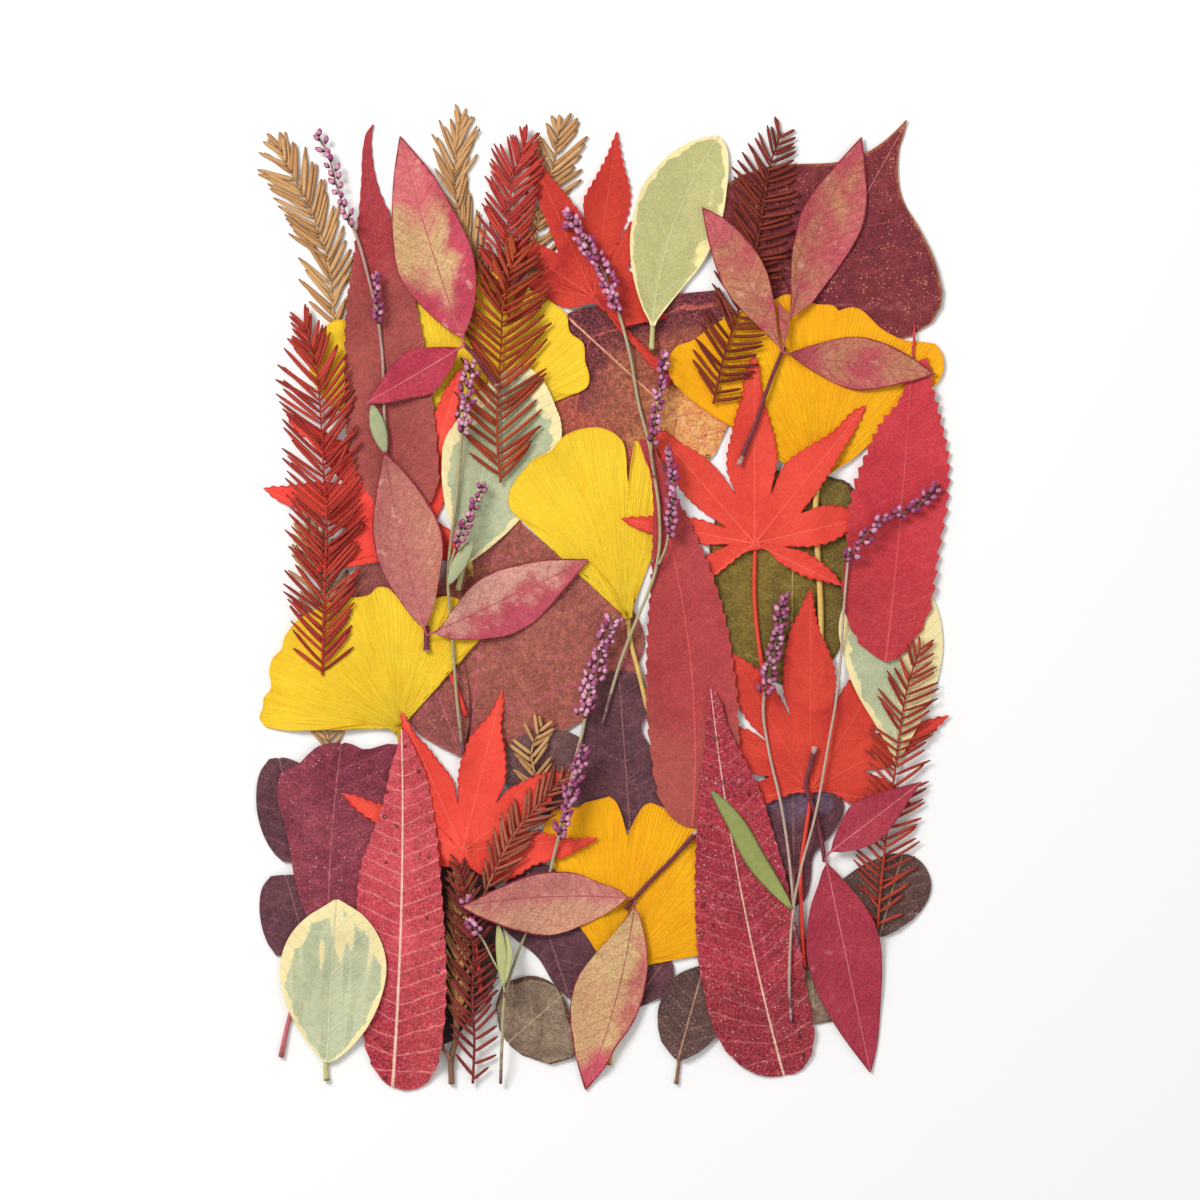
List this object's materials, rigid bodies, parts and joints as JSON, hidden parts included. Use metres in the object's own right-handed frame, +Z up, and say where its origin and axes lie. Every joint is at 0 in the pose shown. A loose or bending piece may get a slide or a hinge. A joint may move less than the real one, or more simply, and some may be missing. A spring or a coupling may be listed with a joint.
{
  "type": "pressed autumn leaf bunch",
  "caption": "Flat, layered bunch of pressed autumn leaves: ginkgo, maple, sumac and nandina leaves, conifer sprigs and small purple flower stems.",
  "frame": {"origin": "on the table, under the middle of the bunch", "axes": "+Y along the longest side of the bunch, towards its top edge; +X to its right; +Z up, away from the table"},
  "size_m": [0.2137, 0.2997, 0.0057],
  "materials": {
    "ginkgo_yellow": "dry matt yellow ginkgo leaf with fine fan ridges",
    "ginkgo_orange": "dry matt orange-yellow ginkgo leaf with fine fan ridges",
    "maple_red": "dry orange-red maple leaf with pale veins",
    "sumac_crimson": "dry crimson leaf with feathered veins and pale specks",
    "nandina_pink": "dry pink, crimson and beige mottled leaflets, satin",
    "pale_green": "sage green and cream variegated leaf",
    "tan_needle": "dry tan conifer needles",
    "rust_needle": "dry rust-red conifer needles",
    "flower_purple": "pink-purple dried flower buds on grey-green stems",
    "heart_leaf_crimson": "dark crimson leaf with pale specks and veins",
    "dried_brown": "dried brown leaf with pink veins and specks",
    "dried_purple": "dark purple-brown dried leaf with pale specks",
    "dried_olive": "dried olive-brown leaf"
  },
  "bodies": {
    "root": {"crimson_heart_leaf": "heart_leaf_crimson", "tan_sprig_top_left": "tan_needle", "tan_sprig_upper": "tan_needle", "tan_sprig_top": "tan_needle", "dark_leaf_left_upper": "dried_purple", "dark_leaf_left_lower": "dried_purple", "tan_sprig_left": "tan_needle", "brown_leaf_center": "dried_brown", "olive_leaf": "dried_olive", "brown_lobed_leaf": "dried_brown", "dark_leaf_middle_left": "dried_purple", "dark_leaf_middle_right": "dried_purple", "tan_sprig_middle": "tan_needle", "dark_leaf_bottom": "dried_purple", "grey_leaf_bottom": "dried_olive", "dark_leaf_bottom_right": "dried_purple", "speckled_leaf": "dried_purple", "dark_leaf_right": "dried_purple", "grey_leaf_right": "dried_olive", "brown_oval_leaf": "dried_purple", "dark_leaf_bottom_left": "dried_purple", "tan_sprig_bottom": "tan_needle", "purple_leaf_left": "sumac_crimson", "brown_leaf_left": "dried_brown", "maple_top": "maple_red", "ginkgo_top": "ginkgo_yellow", "ginkgo_right": "ginkgo_orange", "ginkgo_bottom": "ginkgo_orange", "maple_left": "maple_red", "sumac_top_left": "sumac_crimson", "ginkgo_left": "ginkgo_yellow", "maple_bottom_left": "maple_red", "variegated_center": "pale_green", "ginkgo_center": "ginkgo_yellow", "maple_center": "maple_red", "maple_right": "maple_red", "variegated_right": "pale_green", "sumac_right": "sumac_crimson", "sumac_center": "sumac_crimson", "rust_sprig_bottom": "rust_needle", "red_sprig_bottom": "rust_needle", "sumac_bottom_left": "sumac_crimson", "flower_stem_bottom": "flower_purple", "nandina_bottom": "nandina_pink", "sumac_bottom_right": "sumac_crimson", "variegated_bottom_left": "pale_green", "pale_leaf_top": "pale_green", "red_sprig_top": "rust_needle", "rust_sprig_center": "rust_needle", "rust_sprig_left": "rust_needle", "dark_sprig_right": "rust_needle", "rust_sprig_right": "rust_needle", "flower_stem_left": "flower_purple", "flower_stem_top_left": "flower_purple", "nandina_top_left": "nandina_pink", "nandina_top_right": "nandina_pink", "nandina_left": "nandina_pink", "nandina_right": "nandina_pink", "flower_stem_center": "flower_purple", "flower_stem_right": "flower_purple"}
  },
  "joints": []
}
